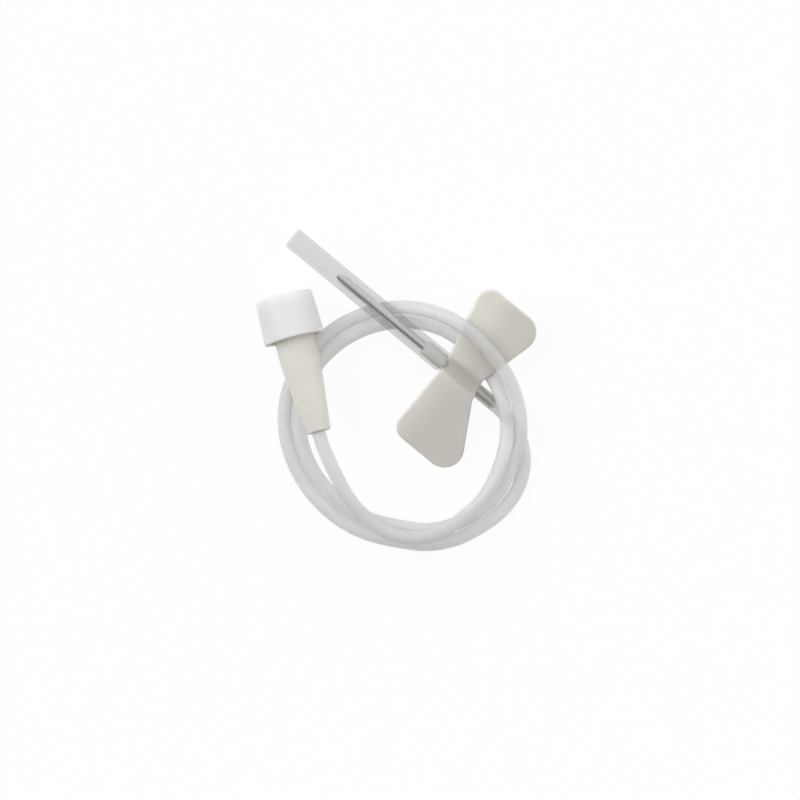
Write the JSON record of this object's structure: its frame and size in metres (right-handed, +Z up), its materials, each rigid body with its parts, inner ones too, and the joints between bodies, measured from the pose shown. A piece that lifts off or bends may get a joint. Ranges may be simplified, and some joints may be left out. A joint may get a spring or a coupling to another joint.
{
  "type": "winged infusion set",
  "caption": "Coiled winged infusion set: sheathed steel needle in a soft winged hub, thin clear tubing, and a tapered socket connector with a push-on cap.",
  "frame": {"origin": "On the table, below the middle of the needle unit (sheath, cannula and winged hub).", "axes": "+X along the needle, from its point towards the tubing; +Y across the wings, towards the wing that lies between strands; +Z up from the table."},
  "size_m": [0.0592, 0.049, 0.0108],
  "materials": {
    "soft_moulding": "satin translucent",
    "steel": "polished",
    "sheath_plastic": "frosted translucent",
    "tubing_plastic": "translucent",
    "connector_plastic": "satin translucent",
    "cap_plastic": "satin"
  },
  "bodies": {
    "hub": {"wing_hub": "soft_moulding", "needle_cannula": "steel", "tubing": "tubing_plastic", "connector": "connector_plastic"},
    "sheath": {"needle_sheath": "sheath_plastic"},
    "wing": {"free_wing": "soft_moulding"},
    "cap": {"connector_cap": "cap_plastic"}
  },
  "joints": [
    {"name": "sheath_slide", "type": "slide", "parent": "hub", "child": "sheath", "axis": [-0.9919, 0, 0.1271], "range_m": [0, 0.03]},
    {"name": "wing_fold", "type": "hinge", "parent": "hub", "child": "wing", "pos_m": [0.01462, -0.00225, 0.00395], "axis": [-0.9919, 0, 0.1271], "range_deg": [0, 85]},
    {"name": "cap_slide", "type": "slide", "parent": "hub", "child": "cap", "axis": [-0.8073, 0.5823, -0.0958], "range_m": [0, 0.0055]}
  ]
}
